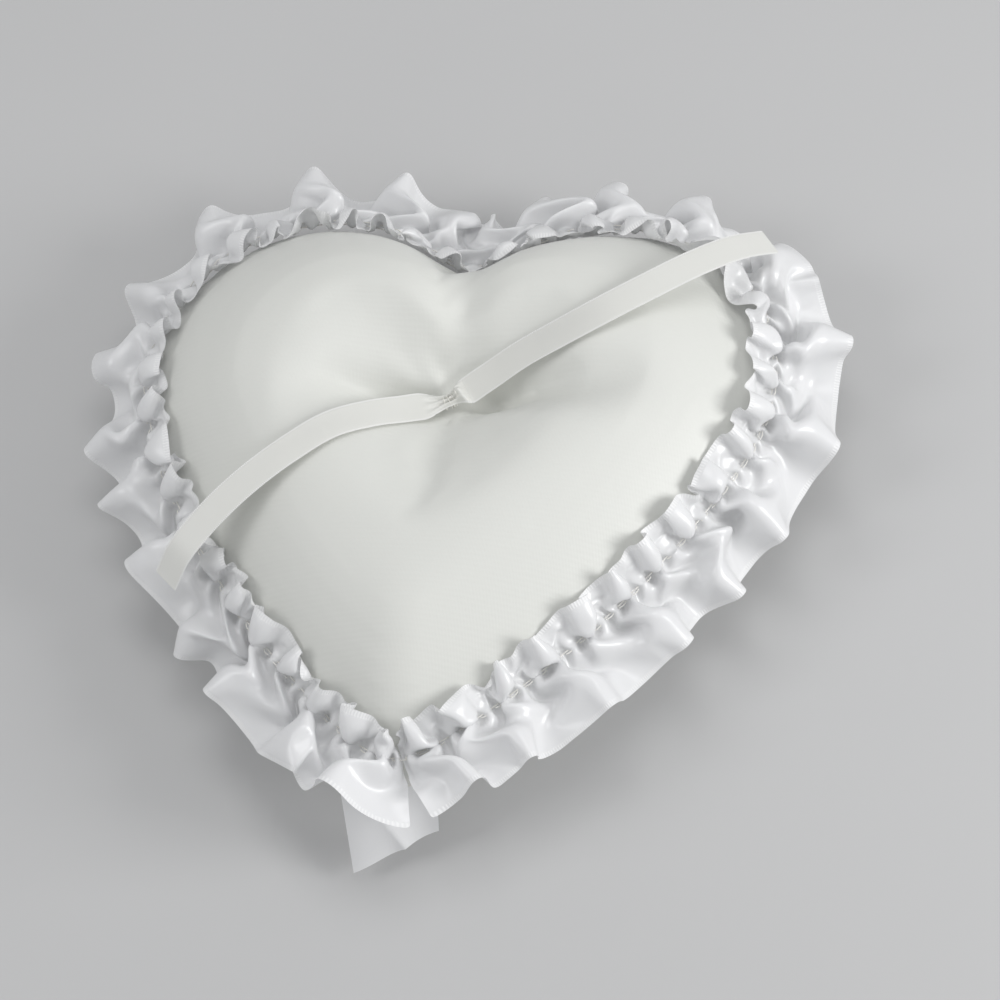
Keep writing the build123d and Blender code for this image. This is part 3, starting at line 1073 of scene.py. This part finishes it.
gatheringKnots = makeKnots()
tackStitches = makeTacks(ringRibbonParts["ringRibbonCentre"][0])
print("stitches made")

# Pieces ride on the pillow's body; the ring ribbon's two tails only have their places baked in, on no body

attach(pillowCushion, "pillow")
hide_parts("front_panel", "back_panel", "fibre_filling")

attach(pillowRuffle, "pillow")
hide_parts("ruffle_ribbon")

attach(ruffleEnd, "pillow")
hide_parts("ruffle_ribbon")

for name, body, node, held in (("ringRibbonUpperTail", "upper_tail", "ring_ribbon_upper_tail", "laid"),
                               ("ringRibbonLowerTail", "lower_tail", "ring_ribbon_lower_tail", "laid"),
                               ("ringRibbonCentre", "pillow", "ring_ribbon_centre", "folded")):
    piece, length = ringRibbonParts[name]
    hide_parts(node)
    if body == "pillow":
        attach(piece, body)
    else:
        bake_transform(piece)

for piece, node in ((tackStitches, "centre_tack_stitches"), (closingStitches, "closing_stitches"),
                    (ruffleStitches, "ruffle_stitches"), (gatheringThread, "gathering_thread"),
                    (gatheringKnots, "gathering_knots")):
    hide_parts(node)
    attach(piece, "pillow")

for name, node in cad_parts.items():
    if name in ("perimeter_seam_thread", "tuft_thread", "back_knot"):
        node.data.materials.clear()
        node.data.materials.append(threadFinish)

# Floor, lights and camera

studio = {
    "floorColour": (0.545, 0.545, 0.545, 1),
    "azimuth": 27.9,
    "elevation": 60.4,
    "roll": -22.5,
    "distance": 1.0,
    "lens": 113.9,
    "aim": (0.0, 0.0113, 0.0),
    "slide": (0.0117, 0.0019),
}


def makeFloor():
    mesh = bpy.data.meshes.new("floor")
    size = 3.0
    corners = [(-size, -size, 0), (size, -size, 0), (size, size, 0), (-size, size, 0)]
    mesh.from_pydata(corners, [], [(0, 1, 2, 3)])
    floor = addPiece("floor", mesh)
    f = Finish("paleSweep")
    place = f.add("ShaderNodeTexCoord", None, None, 3)
    mottle = f.noise(place, 6.0, 3.0)
    colour = f.mixColour(mottle, (0.515, 0.515, 0.515, 1), studio["floorColour"])
    floor.data.materials.append(f.close({"Base Color": colour, "Roughness": 0.9}))


def cameraAxes():
    a, e, r = (math.radians(studio[k]) for k in ("azimuth", "elevation", "roll"))
    back = Vector((math.sin(a) * math.cos(e), -math.cos(a) * math.cos(e), math.sin(e)))
    right = Vector((math.cos(a), math.sin(a), 0))
    up = back.cross(right)
    return right * math.cos(r) + up * math.sin(r), up * math.cos(r) - right * math.sin(r), back


def makeCamera():
    right, up, back = cameraAxes()
    lens = bpy.data.cameras.new("camera")
    lens.lens = studio["lens"]
    lens.sensor_width = 36
    lens.clip_start = 0.05
    camera = bpy.data.objects.new("camera", lens)
    bpy.context.scene.collection.objects.link(camera)
    turn = Matrix((right, up, back)).transposed().to_4x4()
    place = Vector(studio["aim"]) + back * studio["distance"]
    place += right * studio["slide"][0] + up * studio["slide"][1]
    camera.matrix_world = Matrix.Translation(place) @ turn
    bpy.context.scene.camera = camera


def softLight(name, place, size, power, target=(0, 0, 0.03)):
    data = bpy.data.lights.new(name, "AREA")
    data.shape = "RECTANGLE"
    data.size, data.size_y = size
    data.energy = power
    lamp = bpy.data.objects.new(name, data)
    lamp.location = place
    lamp.rotation_euler = (Vector(target) - Vector(place)).to_track_quat("-Z", "Y").to_euler()
    bpy.context.scene.collection.objects.link(lamp)


def makeLights():
    right, up, back = cameraAxes()
    softLight("leftLight", -right * 1.0 + back * 0.75 + up * 0.25, (0.5, 0.6), 2.6)
    softLight("rightLight", right * 1.0 + back * 0.75 + up * 0.10, (0.42, 0.55), 8.4)
    softLight("topLight", up * 0.9 + back * 1.1, (0.9, 0.5), 4)
    world = bpy.data.worlds.new("studio")
    world.use_nodes = True
    world.node_tree.nodes["Background"].inputs[0].default_value = (0.97, 0.98, 1.0, 1)
    world.node_tree.nodes["Background"].inputs[1].default_value = 0.50
    bpy.context.scene.world = world
    bpy.context.scene.view_settings.view_transform = "Standard"


makeFloor()
makeCamera()
makeLights()
print("stage made")
